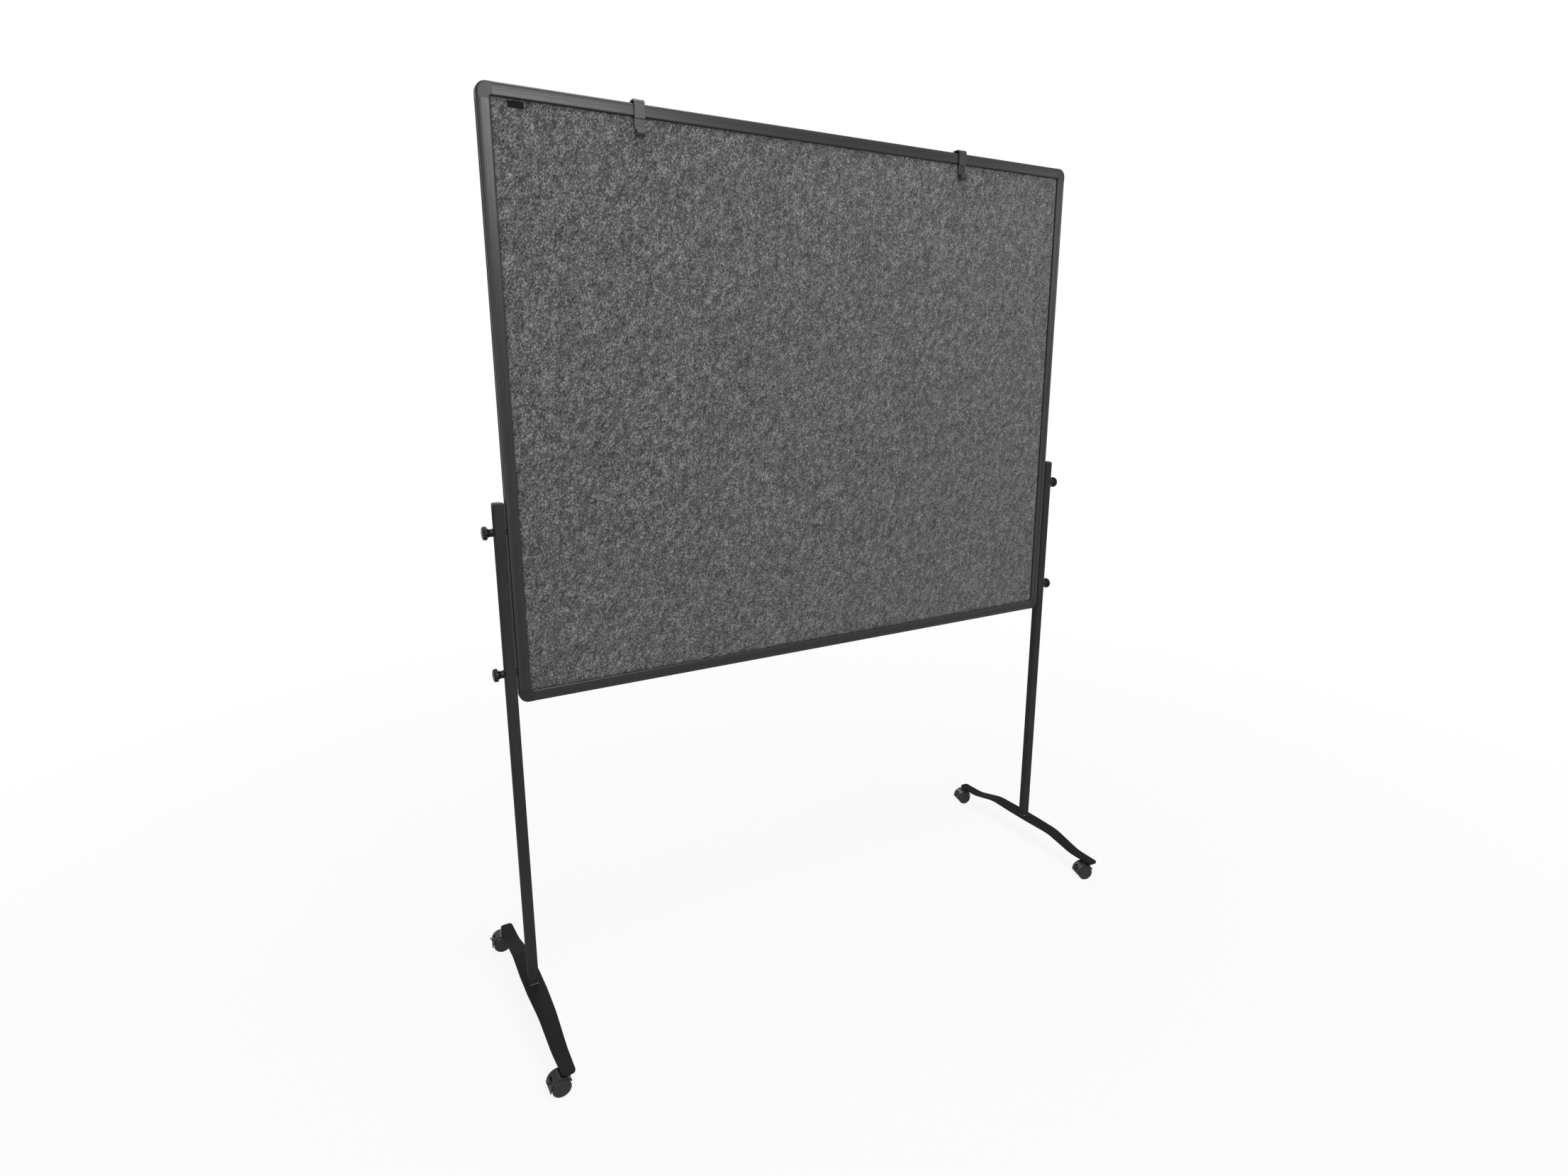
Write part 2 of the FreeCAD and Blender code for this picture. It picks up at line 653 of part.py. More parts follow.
def ring_sector(r0, r1, a0, a1, half_y):
    middle = (a0 + a1) / 2
    edges = [line(polar(r0, a0, -half_y), polar(r1, a0, -half_y))]
    edges.append(arc(polar(r1, a0, -half_y), polar(r1, middle, -half_y), polar(r1, a1, -half_y)))
    edges.append(line(polar(r1, a1, -half_y), polar(r0, a1, -half_y)))
    edges.append(arc(polar(r0, a1, -half_y), polar(r0, middle, -half_y), polar(r0, a0, -half_y)))
    return Part.Face(Part.Wire(edges)).extrude(vec(0, 2 * half_y, 0))


def cross_rod(radius, centre, half_y):
    return rod(radius, centre - vec(0, half_y, 0), vec(0, 1, 0), 2 * half_y)


axle_centre = vec(-caster_trail, 0, wheel_radius)
lever_pivot = polar((hood_inner + hood_outer) / 2, lever_pivot_angle, 0)
window_half = lever_width / 2 + loose_clearance
pin_half = lever_width / 2 + lever_pin_length


def caster_housing():
    hood = ring_sector(hood_inner, hood_outer, hood_start_angle, hood_end_angle, hood_half_width)
    curves = [e for e in hood.Edges if e.Curve.TypeId == "Part::GeomCircle"]
    rims = [e for e in curves if e.Curve.Radius > (hood_inner + hood_outer) / 2]
    hood = hood.makeFillet(hood_edge_radius, rims)
    hub_radius = hub_diameter / 2
    web_outer = (hood_inner + hood_outer) / 2
    web = ring_sector(hub_radius - overrun, web_outer, hood_start_angle, hood_end_angle, web_half_width)
    hub = cross_rod(hub_radius, axle_centre, web_half_width)
    post_bottom = wheel_radius + stem_foot_rise - stem_floor
    post = rod(collar_diameter / 2, vec(0, 0, post_bottom), vec(0, 0, 1), boss_top - post_bottom)
    reach = collar_diameter / 2 + overrun
    post = post.common(box(-reach, reach, -web_half_width, web_half_width, 0, caster_height))
    boss = rod(collar_diameter / 2, vec(0, 0, boss_top - boss_skirt), vec(0, 0, 1), boss_skirt)
    boss = boss.cut(cross_rod(hood_inner, axle_centre, hood_half_width))
    body = hood.fuse([web, hub, post, boss]).removeSplitter()
    well = hood_inner - lever_well
    cuts = [ring_sector(well, hood_outer + overrun, window_start_angle, window_end_angle, window_half)]
    pin_bore = lever_pin_diameter / 2 + running_clearance
    cuts.append(cross_rod(pin_bore, lever_pivot, pin_half + loose_clearance))
    cuts.append(cross_rod(axle_diameter / 2 + running_clearance, axle_centre, web_half_width + overrun))
    bore_bottom = wheel_radius + stem_foot_rise - loose_clearance
    bore_length = boss_top + overrun - bore_bottom
    cuts.append(rod(stem_diameter / 2 + running_clearance, vec(0, 0, bore_bottom), vec(0, 0, 1), bore_length))
    return body.cut(cuts).removeSplitter()


def wheel():
    bore = axle_diameter / 2 + running_clearance
    bore_end = wheel_outer - wheel_face_wall
    half = [(bore, wheel_inner), (wheel_radius - wheel_edge_chamfer, wheel_inner)]
    half += [(wheel_radius, wheel_inner + wheel_edge_chamfer)]
    half += [(wheel_radius, wheel_outer - wheel_bevel_depth)]
    half += [(wheel_radius - wheel_bevel_width, wheel_outer), (0, wheel_outer), (0, bore_end)]
    half += [(bore, bore_end), (bore, wheel_inner)]
    section = Part.Face(Part.makePolygon([vec(r, y, 0) for r, y in half]))
    return section.revolve(vec(0, 0, 0), vec(0, 1, 0), 360)


def brake_lever():
    root = hood_inner + lever_lift
    flap = ring_sector(root, hood_outer, lever_pivot_angle, lever_end_angle, lever_width / 2)
    knuckle = cross_rod(lever_knuckle_diameter / 2, lever_pivot, lever_width / 2)
    pin = cross_rod(lever_pin_diameter / 2, lever_pivot, pin_half)
    half = fin_width / 2
    corners = [polar(root, lever_pivot_angle, -half), polar(hood_outer + fin_reach, fin_tip_angle, -half)]
    corners += [polar(root, fin_end_angle, -half), polar(root, lever_pivot_angle, -half)]
    fin = Part.Face(Part.makePolygon(corners)).extrude(vec(0, fin_width, 0))
    return flap.fuse([knuckle, pin, fin]).removeSplitter()


axle_half = wheel_outer - wheel_face_wall - axle_end_gap
far_wheel = moved(wheel(), -caster_trail, 0, wheel_radius)
near_wheel = far_wheel.mirror(vec(0, 0, 0), vec(0, 1, 0))
housing_shape = caster_housing()
axle_shape = cross_rod(axle_diameter / 2, axle_centre, axle_half)
lever_shape = brake_lever()
front_wheels = {"outer": near_wheel, "inner": far_wheel}
back_wheels = {"outer": far_wheel, "inner": near_wheel}
casters = [("left_front", -1, -1, left_front_turn, front_wheels)]
casters.append(("left_back", -1, 1, left_back_turn, back_wheels))
casters.append(("right_front", 1, -1, right_front_turn, front_wheels))
casters.append(("right_back", 1, 1, right_back_turn, back_wheels))
for name, side, end, turn, wheels in casters:
    pieces = {"caster_housing_%s": housing_shape, "axle_%s": axle_shape, "brake_lever_%s": lever_shape}
    pieces["wheel_%s_outer"] = wheels["outer"]
    pieces["wheel_%s_inner"] = wheels["inner"]
    for pattern, shape in pieces.items():
        swung = turned(shape, vec(0, 0, 1), turn)
        save(moved(swung, side * leg_place, end * stem_place, 0), pattern % name)
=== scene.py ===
import math

import bpy
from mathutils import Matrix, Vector


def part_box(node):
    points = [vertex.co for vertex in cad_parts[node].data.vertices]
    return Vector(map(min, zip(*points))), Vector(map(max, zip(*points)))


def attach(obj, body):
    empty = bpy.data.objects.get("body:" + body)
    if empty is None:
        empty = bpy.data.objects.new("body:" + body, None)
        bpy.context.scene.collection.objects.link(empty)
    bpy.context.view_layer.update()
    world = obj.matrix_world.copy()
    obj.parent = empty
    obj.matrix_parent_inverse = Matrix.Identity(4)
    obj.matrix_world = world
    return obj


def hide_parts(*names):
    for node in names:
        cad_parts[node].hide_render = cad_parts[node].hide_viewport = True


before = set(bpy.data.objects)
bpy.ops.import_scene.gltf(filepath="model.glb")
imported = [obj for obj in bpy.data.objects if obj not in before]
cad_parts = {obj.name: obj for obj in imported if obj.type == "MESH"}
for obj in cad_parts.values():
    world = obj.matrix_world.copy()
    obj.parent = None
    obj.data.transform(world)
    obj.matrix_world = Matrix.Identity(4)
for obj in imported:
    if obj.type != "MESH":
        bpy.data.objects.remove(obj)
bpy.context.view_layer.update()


# Frame rails: four lengths of aluminium extrusion, coated charcoal grey with a satin sheen.
# Fine die lines run along each length, and two grooves part the flat inner band from the crowned one.
rail_sheen = 0.34
rail_tones = (0.012, 0.016)
rail_roughness = (0.30, 0.36)
die_line_length, die_line_width, die_line_depth = 0.9, 0.0011, 0.00006
die_line_strength = 0.5
smear_size, smear_detail = 0.12, 4.0
noise_low, noise_middle, noise_high = 0.3, 0.5, 0.7
grey_tint = (0.985, 1.0, 0.992)


def node(tree, kind, feeds=None, **settings):
    """A new node whose inputs are fed by values or by other nodes' sockets."""
    made = tree.nodes.new(kind)
    for setting, value in settings.items():
        setattr(made, setting, value)
    for socket, feed in (feeds or {}).items():
        if isinstance(feed, bpy.types.NodeSocket):
            tree.links.new(feed, made.inputs[socket])
        else:
            made.inputs[socket].default_value = feed
    return made


def new_finish(name, values):
    """A material, its node tree and its shader, with these values set on the shader's own sockets."""
    finish = bpy.data.materials.new(name)
    finish.use_nodes = True
    shader = finish.node_tree.nodes["Principled BSDF"]
    for socket, value in values.items():
        shader.inputs[socket].default_value = value
    return finish, finish.node_tree, shader


def cube(size):
    return (size, size, size)


def grain(tree, cell, detail=3.0, turn=0.0, place=None):
    """Noise whose cells measure cell = (x, y, z) metres, turned about the board's face."""
    place = place or node(tree, "ShaderNodeTexCoord").outputs["Object"]
    feeds = {"Vector": place, "Rotation": (0, turn, 0), "Scale": cell}
    cells = node(tree, "ShaderNodeMapping", feeds, vector_type="TEXTURE").outputs["Vector"]
    return node(tree, "ShaderNodeTexNoise", {"Vector": cells, "Scale": 1.0, "Detail": detail}).outputs[0]


def between(tree, value, low, high, start=noise_low, stop=noise_high):
    feeds = {"Value": value, "From Min": start, "From Max": stop, "To Min": low, "To Max": high}
    return node(tree, "ShaderNodeMapRange", feeds).outputs["Result"]


def tones(tree, value, stops):
    """Greys with a trace of green, from stops of (place on the noise, tone)."""
    ramp = node(tree, "ShaderNodeValToRGB", {"Fac": value})
    while len(ramp.color_ramp.elements) < len(stops):
        ramp.color_ramp.elements.new(noise_middle)
    for element, (place, tone) in zip(ramp.color_ramp.elements, stops):
        element.position = place
        element.color = (*[tone * share for share in grey_tint], 1)
    return ramp.outputs["Color"]


def two_tones(tree, value, dark, light):
    return tones(tree, value, [(noise_low, dark), (noise_high, light)])


def relief(tree, shader, height, distance, strength=1.0):
    feeds = {"Height": height, "Distance": distance, "Strength": strength}
    tree.links.new(node(tree, "ShaderNodeBump", feeds).outputs["Normal"], shader.inputs["Normal"])


def dress(finish, *names):
    for name in names:
        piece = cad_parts[name]
        piece.data.materials.clear()
        piece.data.materials.append(finish)


def rail_finish(name, die_line):
    finish, tree, shader = new_finish(name, {"Specular IOR Level": rail_sheen})
    lines = grain(tree, die_line)
    smears = grain(tree, cube(smear_size), smear_detail)
    tree.links.new(two_tones(tree, lines, *rail_tones), shader.inputs["Base Color"])
    tree.links.new(between(tree, smears, *rail_roughness), shader.inputs["Roughness"])
    relief(tree, shader, lines, die_line_depth, die_line_strength)
    return finish


across_line = (die_line_length, die_line_width, die_line_width)
upright_line = (die_line_width, die_line_width, die_line_length)
dress(rail_finish("rail_coat_across", across_line), "rail_top", "rail_bottom")
dress(rail_finish("rail_coat_upright", upright_line), "rail_left", "rail_right")


# Corner pieces: plastic mouldings plugged into the rails' ends and coloured to match them.
# Their faces have the fine even grain of a spark-eroded mould.
flow_size, flow_spread = 0.03, 0.08
speckle_detail, speckle_strength, speckle_gloss = 2.0, 0.6, 0.05


def moulded_finish(name, tone, roughness, speckle, depth, sheen):
    """Plastic with a mould grain of this speckle size and depth, and faint flow marks in its colour."""
    finish, tree, shader = new_finish(name, {"Specular IOR Level": sheen})
    speckles = grain(tree, cube(speckle), speckle_detail)
    flow = grain(tree, cube(flow_size))
    colour = two_tones(tree, flow, tone * (1 - flow_spread), tone * (1 + flow_spread))
    tree.links.new(colour, shader.inputs["Base Color"])
    gloss = between(tree, speckles, roughness - speckle_gloss, roughness + speckle_gloss)
    tree.links.new(gloss, shader.inputs["Roughness"])
    relief(tree, shader, speckles, depth, speckle_strength)
    return finish


corner_plastic = moulded_finish(
    "corner_plastic", tone=0.013, roughness=0.36, speckle=0.0009, depth=0.00005, sheen=0.26)
sides = ("left", "right")
dress(corner_plastic, *["corner_%s_%s" % (level, side) for level in ("top", "bottom") for side in sides])


# Core board: soft fibreboard behind the felt that holds the pins.
# Only its cut edges show, and only where a rail is taken off.
chip_size, chip_detail, chip_depth = (0.004, 0.002, 0.004), 5.0, 0.0004
chip_tones = (0.11, 0.20)
fibreboard, tree, shader = new_finish("fibreboard", {"Roughness": 0.9})
chips = grain(tree, chip_size, chip_detail)
tree.links.new(two_tones(tree, chips, *chip_tones), shader.inputs["Base Color"])
relief(tree, shader, chips, chip_depth)
dress(fibreboard, "core_board")


# Felt coverings: needled felt of mixed dark and light grey fibres, glued to both faces of the core.
# The frame's lip pinches each sheet at its rim, and short fibres work loose from the nap.
sway_scale, sway_detail, sway_reach = 40.0, 1.0, 0.008
long_fibre, long_turn = (0.0021, 0.02, 0.0044), math.radians(36)
cross_fibre, cross_turn = (0.0020, 0.02, 0.0034), math.radians(-32)
tuft, tuft_turn, tuft_detail = (0.013, 0.03, 0.022), math.radians(30), 3.0
fibre_detail = 4.0
cross_share, tuft_share = 0.36, 0.20
felt_tones = [(0.40, 0.010), (0.47, 0.053), (0.53, 0.107), (0.61, 0.28)]
nap_depth, nap_strength = 0.0012, 0.8

felt_look = {"Roughness": 0.95, "Sheen Weight": 0.25, "Sheen Roughness": 0.5}
felt, tree, shader = new_finish("needled_felt", felt_look)
place = node(tree, "ShaderNodeTexCoord").outputs["Object"]
drift_feeds = {"Vector": place, "Scale": sway_scale, "Detail": sway_detail}
drift = node(tree, "ShaderNodeTexNoise", drift_feeds).outputs["Color"]
sway_feeds = {0: drift, 1: cube(noise_middle)}
sway = node(tree, "ShaderNodeVectorMath", sway_feeds, operation="SUBTRACT").outputs[0]
wander = node(tree, "ShaderNodeVectorMath", {0: sway, "Scale": sway_reach}, operation="SCALE").outputs[0]
combed = node(tree, "ShaderNodeVectorMath", {0: place, 1: wander}).outputs[0]
long_streaks = grain(tree, long_fibre, fibre_detail, long_turn, combed)
cross_streaks = grain(tree, cross_fibre, fibre_detail, cross_turn, combed)
tufts = grain(tree, tuft, tuft_detail, tuft_turn, combed)
streaks = node(tree, "ShaderNodeMix", {0: cross_share, 2: long_streaks, 3: cross_streaks}).outputs[0]
fibres = node(tree, "ShaderNodeMix", {0: tuft_share, 2: streaks, 3: tufts}).outputs[0]
tree.links.new(tones(tree, fibres, felt_tones), shader.inputs["Base Color"])
relief(tree, shader, streaks, nap_depth, nap_strength)

stray_tones, stray_size = (0.10, 0.34), 0.02
stray_fibre, tree, shader = new_finish("stray_fibre", {"Roughness": 0.9})
tree.links.new(two_tones(tree, grain(tree, cube(stray_size)), *stray_tones), shader.inputs["Base Color"])

gather_line = ((0.2, 0.44), (0.4, 0.50), (0.6, 0.62), (0.8, 0.80))
bend_end = 1.5
wave_shift, wave_scale, wave_detail = (7.3, 2.1, 0.0), 42.0, 3.0
weld_distance = 0.00002
open_nap_from = 0.9
fibre_bow, fibre_sink, fibre_lift = 0.7, -0.6, 3.0
fibre_sides, fibre_steps = 3, 4
smallest_fibre, largest_fibre = (0.5, 0.4, 1), (1.5, 1.5, 1)


def felt_tree():
    """Sheet on the XY plane with its nap toward +Z, and loose curved fibres scattered on the nap."""
    tree = bpy.data.node_groups.new("felt_sheet", "GeometryNodeTree")
    tree.interface.new_socket("Geometry", in_out="OUTPUT", socket_type="NodeSocketGeometry")
    inputs = {
        "NodeSocketFloat": (
            "Width", "Height", "Thickness", "Pinch", "Rim", "Gather", "Nap",
            "Fibre Length", "Fibre Radius", "Fibres"),
        "NodeSocketInt": ("Columns", "Rows", "Seed"),
        "NodeSocketVector": ("Placing", "Facing")}
    for kind, names in inputs.items():
        for name in names:
            tree.interface.new_socket(name, in_out="INPUT", socket_type=kind)
    given = tree.nodes.new("NodeGroupInput").outputs

    def maths(operation, first, second=0.0):
        return node(tree, "ShaderNodeMath", {0: first, 1: second}, operation=operation).outputs[0]

    def point(**axes):
        feeds = {"XYZ".index(axis): value for axis, value in axes.items()}
        return node(tree, "ShaderNodeCombineXYZ", feeds).outputs[0]

    face = node(tree, "GeometryNodeMeshGrid", {
        "Size X": given["Width"], "Size Y": given["Height"],
        "Vertices X": given["Columns"], "Vertices Y": given["Rows"]}).outputs["Mesh"]
    spot = tree.nodes.new("GeometryNodeInputPosition").outputs[0]
    across = node(tree, "ShaderNodeSeparateXYZ", {0: spot}).outputs

    def gathered(place, size):
        """Draws the grid's outer lines together along the lip, where the felt bends."""
        half = maths("MULTIPLY", size, 0.5)
        depth = maths("SUBTRACT", half, maths("ABSOLUTE", place))
        curve = node(tree, "ShaderNodeFloatCurve", {"Value": maths("DIVIDE", depth, given["Gather"])})
        line = curve.mapping.curves[0]
        for at, to in gather_line:
            line.points.new(at, to)
        for bend in line.points:
            bend.handle_type = "VECTOR"
        curve.mapping.update()
        drawn = maths("MULTIPLY", curve.outputs[0], given["Gather"])
        near = maths("LESS_THAN", depth, given["Gather"])
        kept = maths("ADD", depth, maths("MULTIPLY", maths("SUBTRACT", drawn, depth), near))
        return kept, maths("MULTIPLY", maths("SUBTRACT", half, kept), maths("SIGN", place))

    from_side, new_x = gathered(across[0], given["Width"])
    from_end, new_y = gathered(across[1], given["Height"])
    inward = maths("MINIMUM", from_side, from_end)
    free = node(tree, "ShaderNodeMapRange", {
        "Value": inward, "From Min": given["Rim"], "From Max": maths("MULTIPLY", given["Rim"], bend_end),
        "To Min": 0.0, "To Max": 1.0}, interpolation_type="SMOOTHSTEP").outputs[0]
    shifted = node(tree, "ShaderNodeVectorMath", {0: spot, 1: wave_shift}).outputs[0]
    wave_feeds = {"Vector": shifted, "Scale": wave_scale, "Detail": wave_detail}
    waves = node(tree, "ShaderNodeTexNoise", wave_feeds).outputs[0]
    hollow = maths("MULTIPLY", maths("MULTIPLY", waves, given["Nap"]), free)
    pinched = maths("MULTIPLY", given["Pinch"], maths("SUBTRACT", 1.0, free))
    level = maths("SUBTRACT", maths("SUBTRACT", given["Thickness"], pinched), hollow)
    moved = point(X=new_x, Y=new_y, Z=level)
    nap = node(tree, "GeometryNodeSetPosition", {"Geometry": face, "Position": moved}).outputs[0]

    faces_of_edge = tree.nodes.new("GeometryNodeInputMeshEdgeNeighbors").outputs[0]
    rim_edge = node(
        tree, "FunctionNodeCompare", {2: faces_of_edge, 3: 1},
        data_type="INT", operation="EQUAL").outputs[0]
    rim_thickness = maths("SUBTRACT", given["Thickness"], given["Pinch"])
    drop = point(Z=maths("MULTIPLY", rim_thickness, -1.0))
    skirt = node(tree, "GeometryNodeExtrudeMesh", {
        "Mesh": nap, "Selection": rim_edge, "Offset": drop, "Offset Scale": 1.0}, mode="EDGES").outputs
    rim_feeds = {"Mesh": skirt["Mesh"], "Selection": skirt["Top"]}
    outline = node(tree, "GeometryNodeMeshToCurve", rim_feeds).outputs[0]
    back = node(tree, "GeometryNodeFillCurve", {"Curve": outline}, mode="NGONS").outputs[0]
    turned_back = node(tree, "GeometryNodeFlipFaces", {"Mesh": back}).outputs[0]
    shell = tree.nodes.new("GeometryNodeJoinGeometry")
    tree.links.new(skirt["Mesh"], shell.inputs[0])
    tree.links.new(turned_back, shell.inputs[0])
    weld_feeds = {"Geometry": shell.outputs[0], "Distance": weld_distance}
    sheet = node(tree, "GeometryNodeMergeByDistance", weld_feeds).outputs[0]
    smooth = node(tree, "GeometryNodeSetShadeSmooth", {"Geometry": sheet}).outputs[0]
    covered = node(tree, "GeometryNodeSetMaterial", {"Geometry": smooth, "Material": felt}).outputs[0]

    open_nap = node(
        tree, "FunctionNodeCompare", {0: free, 1: open_nap_from},
        data_type="FLOAT", operation="GREATER_THAN").outputs[0]
    area = maths("MULTIPLY", given["Width"], given["Height"])
    points = node(tree, "GeometryNodeDistributePointsOnFaces", {
        "Mesh": nap, "Selection": open_nap, "Seed": given["Seed"],
        "Density": maths("DIVIDE", given["Fibres"], area)}).outputs["Points"]
    half = maths("MULTIPLY", given["Fibre Length"], 0.5)
    sunk = maths("MULTIPLY", given["Fibre Radius"], fibre_sink)
    start = point(X=maths("MULTIPLY", half, -1.0), Z=sunk)
    lifted = maths("MULTIPLY", given["Fibre Radius"], fibre_lift)
    crest = point(Y=maths("MULTIPLY", half, fibre_bow), Z=lifted)
    stop = point(X=half, Z=sunk)
    strand = node(tree, "GeometryNodeCurveQuadraticBezier", {
        "Resolution": fibre_steps, "Start": start, "Middle": crest, "End": stop}).outputs[0]
    section = node(tree, "GeometryNodeCurvePrimitiveCircle", {
        "Resolution": fibre_sides, "Radius": given["Fibre Radius"]}).outputs[0]
    fibre = node(tree, "GeometryNodeCurveToMesh", {
        "Curve": strand, "Profile Curve": section, "Fill Caps": True}).outputs[0]
    dyed = node(tree, "GeometryNodeSetMaterial", {"Geometry": fibre, "Material": stray_fibre}).outputs[0]

    def any_vector(low, high):
        feeds = {0: low, 1: high, "Seed": given["Seed"]}
        return node(tree, "FunctionNodeRandomValue", feeds, data_type="FLOAT_VECTOR").outputs[0]

    turn = any_vector((0, 0, -math.pi), (0, 0, math.pi))
    length = any_vector(smallest_fibre, largest_fibre)
    strewn = node(tree, "GeometryNodeInstanceOnPoints", {
        "Points": points, "Instance": dyed, "Rotation": turn, "Scale": length}).outputs[0]

    whole = tree.nodes.new("GeometryNodeJoinGeometry")
    tree.links.new(covered, whole.inputs[0])
    tree.links.new(node(tree, "GeometryNodeRealizeInstances", {0: strewn}).outputs[0], whole.inputs[0])
    placed = node(tree, "GeometryNodeTransform", {
        "Geometry": whole.outputs[0],
        "Translation": given["Placing"], "Rotation": given["Facing"]}).outputs[0]
    tree.links.new(placed, tree.nodes.new("NodeGroupOutput").inputs[0])
    return tree


def grown(name, tree, values):
    """A plain mesh object made by a node tree with these inputs."""
    maker = bpy.data.objects.new("maker", bpy.data.meshes.new("maker"))
    bpy.context.collection.objects.link(maker)
    modifier = maker.modifiers.new("maker", "NODES")
    modifier.node_group = tree
    sockets = {item.name: item.identifier for item in tree.interface.items_tree if item.in_out == "INPUT"}
    for socket, value in values.items():
        modifier[sockets[socket]] = value
    made = maker.evaluated_get(bpy.context.evaluated_depsgraph_get())
    mesh = bpy.data.meshes.new_from_object(made)
    bpy.data.objects.remove(maker)
    piece = bpy.data.objects.new(name, mesh)
    bpy.context.collection.objects.link(piece)
    return piece


sheet_tree = felt_tree()
for face, facing, seed in (("front", 0.0, 5), ("back", math.pi, 11)):
    low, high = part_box("felt_%s" % face)
    size = high - low
    inner = high.y if face == "front" else low.y
    sheet = grown("felt_sheet_%s" % face, sheet_tree, {
        "Width": size.x, "Height": size.z, "Thickness": size.y,
        "Pinch": 0.0020, "Rim": 0.0114, "Gather": 0.0262, "Nap": 0.00045,
        "Columns": 281, "Rows": 225, "Seed": seed,
        "Fibres": 2600.0, "Fibre Length": 0.011, "Fibre Radius": 0.00013,
        "Placing": Vector((0, inner, (low.z + high.z) / 2)), "Facing": Vector((math.pi / 2, 0, facing))})
    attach(sheet, "board")
    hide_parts("felt_%s" % face)


# Label tab: a bare black woven tab stuck to the felt under the top rail, near the left corner.
# Its face has a tight ribbed weave and no print.
rib_size, rib_detail, rib_depth = (0.004, 0.004, 0.0006), 1.0, 0.0002
label_tones = (0.003, 0.007)
label_weave, tree, shader = new_finish("label_weave", {"Roughness": 0.7, "Specular IOR Level": 0.1})
ribs = grain(tree, rib_size, rib_detail)
tree.links.new(two_tones(tree, ribs, *label_tones), shader.inputs["Base Color"])
relief(tree, shader, ribs, rib_depth)
dress(label_weave, "label_tab")


# Paper hooks: plastic clips that spring over the top rail and end in an upturned tongue.
# They are moulded in grey and slide along the rail; their tone is set lighter than the frame's as a
# painted highlight for the light their tongues catch from above.
# Part of this tone is a painted highlight: the hook's own grey is darker, near the frame's.
hook_plastic = moulded_finish(
    "hook_plastic", tone=0.022, roughness=0.32, speckle=0.0008, depth=0.00003, sheen=0.34)
dress(hook_plastic, *["paper_hook_%s" % side for side in sides])


# Legs and feet: square steel tube on a bent and tapered steel strip, powder coated charcoal.
# The coat has the faint orange peel of a stoved powder, and a thin steel-grey band at each tube's foot is
# a painted highlight.
coat_sheen, coat_roughness, coat_spread = 0.02, (0.58, 0.68), 0.1
peel_size, peel_detail, peel_depth, peel_strength = 0.0016, 2.0, 0.00009, 0.6
cloud_size = 0.09
foot_tone, leg_tone = 0.017, 0.034


def powder_coat(name, tone):
    finish, tree, shader = new_finish(name, {"Specular IOR Level": coat_sheen})
    peel = grain(tree, cube(peel_size), peel_detail)
    clouds = grain(tree, cube(cloud_size))
    coat = two_tones(tree, clouds, tone * (1 - coat_spread), tone * (1 + coat_spread))
    tree.links.new(coat, shader.inputs["Base Color"])
    tree.links.new(between(tree, clouds, *coat_roughness), shader.inputs["Roughness"])
    relief(tree, shader, peel, peel_depth, peel_strength)
    return finish, tree, shader, coat


foot_coat = powder_coat("foot_coat", foot_tone)[0]
dress(foot_coat, *["foot_%s" % side for side in sides])

# Painted highlight: a 1.2 mm band of pale steel colour with fine lines at each leg's foot, standing in
# for the light its foot edge catches.
highlight_band_height, highlight_band_sharpness = 0.0012, 0.9
highlight_band_lines, highlight_band_tones = (0.003, 0.003, 0.0004), (0.30, 0.42)
leg_coat, tree, shader, coat = powder_coat("leg_coat", leg_tone)
leg_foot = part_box("leg_left")[0].z
place = node(tree, "ShaderNodeTexCoord").outputs["Object"]
height = node(tree, "ShaderNodeSeparateXYZ", {0: place}).outputs["Z"]
painted_highlight = between(tree, height, 1.0, 0.0, leg_foot + highlight_band_height * highlight_band_sharpness, leg_foot + highlight_band_height)
highlight_colour = two_tones(tree, grain(tree, highlight_band_lines), *highlight_band_tones)
coat_and_highlight = node(tree, "ShaderNodeMix", {0: painted_highlight, 6: coat, 7: highlight_colour}, data_type="RGBA").outputs[2]
tree.links.new(coat_and_highlight, shader.inputs["Base Color"])
dress(leg_coat, *["leg_%s" % side for side in sides])


# Leg caps and clamp spacers: black plastic, the caps domed and pushed into the tubes' tops,
# the spacers rings on the studs that keep each leg clear of the rail.
black_plastic = moulded_finish(
    "black_plastic", tone=0.012, roughness=0.45, speckle=0.0007, depth=0.00004, sheen=0.3)
for piece in ("leg_cap", "clamp_spacers"):
    dress(black_plastic, *["%s_%s" % (piece, side) for side in sides])


# Bolts, caster stems, axles, studs and bar nuts: zinc plated steel.
# The plating is slightly cloudy, with the fine lines of turned and drawn stock.
plating_cloud, plating_detail = 0.006, 4.0
zinc_tones, zinc_roughness = (0.42, 0.58), (0.26, 0.42)
turned_line, turned_detail, turned_depth, turned_strength = (0.002, 0.002, 0.0003), 1.0, 0.00003, 0.5
zinc, tree, shader = new_finish("zinc_plate", {"Metallic": 1.0})
clouds = grain(tree, cube(plating_cloud), plating_detail)
tree.links.new(two_tones(tree, clouds, *zinc_tones), shader.inputs["Base Color"])
tree.links.new(between(tree, clouds, *zinc_roughness), shader.inputs["Roughness"])
relief(tree, shader, grain(tree, turned_line, turned_detail), turned_depth, turned_strength)
ends = ("front", "back")
levels = ("lower", "upper")
clamps = ["%s_%s" % (side, level) for side in sides for level in levels]
casters = ["%s_%s" % (side, end) for side in sides for end in ends]
dress(zinc, *["%s_%s" % (piece, side) for piece in ("foot_bolts", "caster_stems") for side in sides])
dress(zinc, *["axle_%s" % caster for caster in casters])
dress(zinc, *["%s_%s" % (piece, clamp) for piece in ("stud", "nut") for clamp in clamps])


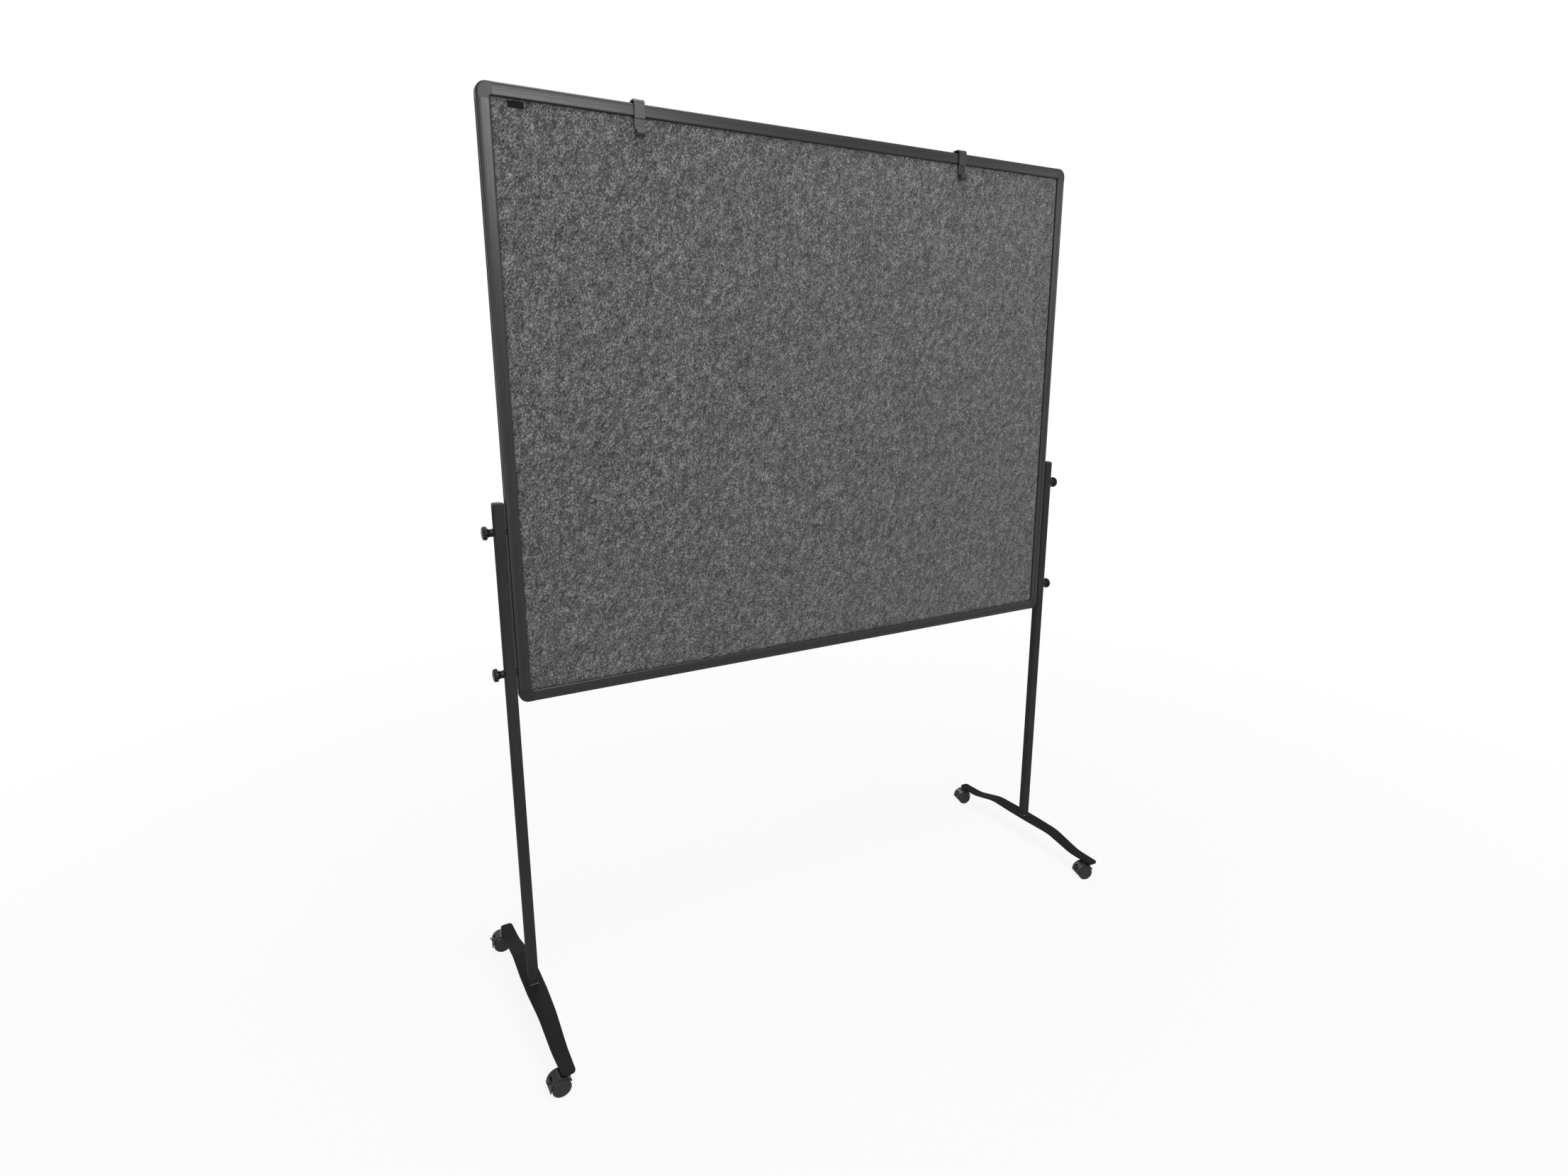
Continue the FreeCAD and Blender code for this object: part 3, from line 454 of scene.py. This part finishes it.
# Hand knobs: glossy black ribbed mouldings on the ends of the clamp studs.
# They are turned by hand, so their shine is a little uneven.
knob_gloss = moulded_finish(
    "knob_gloss", tone=0.004, roughness=0.24, speckle=0.004, depth=0.00002, sheen=0.14)
dress(knob_gloss, *["knob_%s" % clamp for clamp in clamps])


# Caster housings and brake levers: hooded mouldings that carry two wheels on one axle.
# Their black plastic is matt with a fine mould grain, and each lever sits in its hood's window.
caster_plastic = moulded_finish(
    "caster_plastic", tone=0.010, roughness=0.40, speckle=0.0006, depth=0.00004, sheen=0.25)
for piece in ("caster_housing", "brake_lever"):
    dress(caster_plastic, *["%s_%s" % (piece, caster) for caster in casters])


# Wheels: hard grey-black plastic discs in pairs, each free to turn by itself.
# Their faces are satin, with a bevel round the rim.
wheel_plastic = moulded_finish(
    "wheel_plastic", tone=0.011, roughness=0.28, speckle=0.0012, depth=0.00006, sheen=0.3)
for half in ("outer", "inner"):
    dress(wheel_plastic, *["wheel_%s_%s" % (caster, half) for caster in casters])


# Stage: a pale studio floor that turns to the white of the backdrop away from the object.
# To the camera, and in reflections, the backdrop is plain white.
floor_reach = 30.0
floor_grey = 0.62
shadow_reach, white_from = 0.8, 3.0
least_white = 0.90
ambient = 0.15


def seen_rays(tree):
    """1 for rays that show the backdrop, straight or mirrored or through glass, and 0 for light."""
    rays = node(tree, "ShaderNodeLightPath").outputs
    feeds = {0: rays["Is Camera Ray"], 1: rays["Is Glossy Ray"]}
    seen = node(tree, "ShaderNodeMath", feeds, operation="MAXIMUM").outputs[0]
    feeds = {0: seen, 1: rays["Is Transmission Ray"]}
    return node(tree, "ShaderNodeMath", feeds, operation="MAXIMUM").outputs[0]


floor_mesh = bpy.data.meshes.new("studio_floor")
floor_corners = [(x * floor_reach, y * floor_reach, 0) for x, y in ((-1, -1), (1, -1), (1, 1), (-1, 1))]
floor_mesh.from_pydata(floor_corners, [], [(0, 1, 2, 3)])
floor = bpy.data.objects.new("studio_floor", floor_mesh)
bpy.context.collection.objects.link(floor)
floor_look = {"Base Color": (*cube(floor_grey), 1), "Roughness": 0.9}
floor_paint, tree, shader = new_finish("floor_paint", floor_look)
around = node(tree, "ShaderNodeTexCoord").outputs["Object"]
distance = node(tree, "ShaderNodeVectorMath", {0: around}, operation="LENGTH").outputs["Value"]
white_share = between(tree, distance, least_white, 1.0, shadow_reach, white_from)
share_feeds = {0: seen_rays(tree), 1: white_share}
share = node(tree, "ShaderNodeMath", share_feeds, operation="MULTIPLY").outputs[0]
white = node(tree, "ShaderNodeEmission", {"Color": (1, 1, 1, 1), "Strength": 1.0}).outputs[0]
mixed = node(tree, "ShaderNodeMixShader", {0: share, 1: shader.outputs[0], 2: white}).outputs[0]
tree.links.new(mixed, tree.nodes["Material Output"].inputs["Surface"])
floor_mesh.materials.append(floor_paint)

world = bpy.data.worlds.new("studio")
bpy.context.scene.world = world
world.use_nodes = True
tree = world.node_tree
strength = between(tree, seen_rays(tree), ambient, 1.0, 0.0, 1.0)
tree.links.new(strength, tree.nodes["Background"].inputs["Strength"])
tree.nodes["Background"].inputs["Color"].default_value = (1, 1, 1, 1)


# Lights: softboxes in front, at both sides and above, set by the greys of the photograph.
# One behind lights the back. The camera sees none of them, but the coats and mouldings mirror them.
def softbox(name, place, aim, width, height, watts):
    lamp = bpy.data.lights.new(name, "AREA")
    lamp.shape = "RECTANGLE"
    lamp.size = width
    lamp.size_y = height
    lamp.energy = watts
    lit = bpy.data.objects.new(name, lamp)
    lit.location = place
    lit.visible_camera = False
    lit.rotation_euler = (Vector(aim) - Vector(place)).to_track_quat("-Z", "Y").to_euler()
    bpy.context.collection.objects.link(lit)


softbox("key_box", place=(0.2, -3.7, 3.0), aim=(0, 0, 1.5), width=1.3, height=1.1, watts=66)
softbox("fill_box", place=(5.2, -3.4, 2.6), aim=(0.3, 0, 1.3), width=2.0, height=1.6, watts=26)
softbox("top_box", place=(-0.2, -0.45, 4.2), aim=(0, -0.2, 1.0), width=2.4, height=1.6, watts=84)
softbox("window_box", place=(-2.4, -3.2, 1.2), aim=(-0.2, 0, 1.1), width=1.0, height=2.4, watts=32)
softbox("back_box", place=(0.5, 4.2, 2.8), aim=(0, 0, 1.3), width=1.8, height=1.4, watts=80)


# Camera: the photograph's view, from the front left at eye height, level and looking a little down.
# The lens and its shift come from the photograph's focal length and centre, in its own pixels.
bpy.context.scene.view_settings.view_transform = "Standard"
picture_wide, picture_high = 2212, 1659
focal_pixels = 1231.6
centre_across, centre_down = 1111.3, 800.4
look_down, look_right = math.radians(12.978), math.radians(30.137)
lens = bpy.data.cameras.new("photo_camera")
lens.sensor_fit = "HORIZONTAL"
lens.sensor_width = 36.0
lens.lens = lens.sensor_width * focal_pixels / picture_wide
lens.shift_x = (picture_wide / 2 - centre_across) / picture_wide
lens.shift_y = (centre_down - picture_high / 2) / picture_wide
camera = bpy.data.objects.new("photo_camera", lens)
camera.location = (-1.1304, -1.7890, 1.4441)
camera.rotation_euler = (math.pi / 2 - look_down, 0, -look_right)
bpy.context.collection.objects.link(camera)
bpy.context.scene.camera = camera
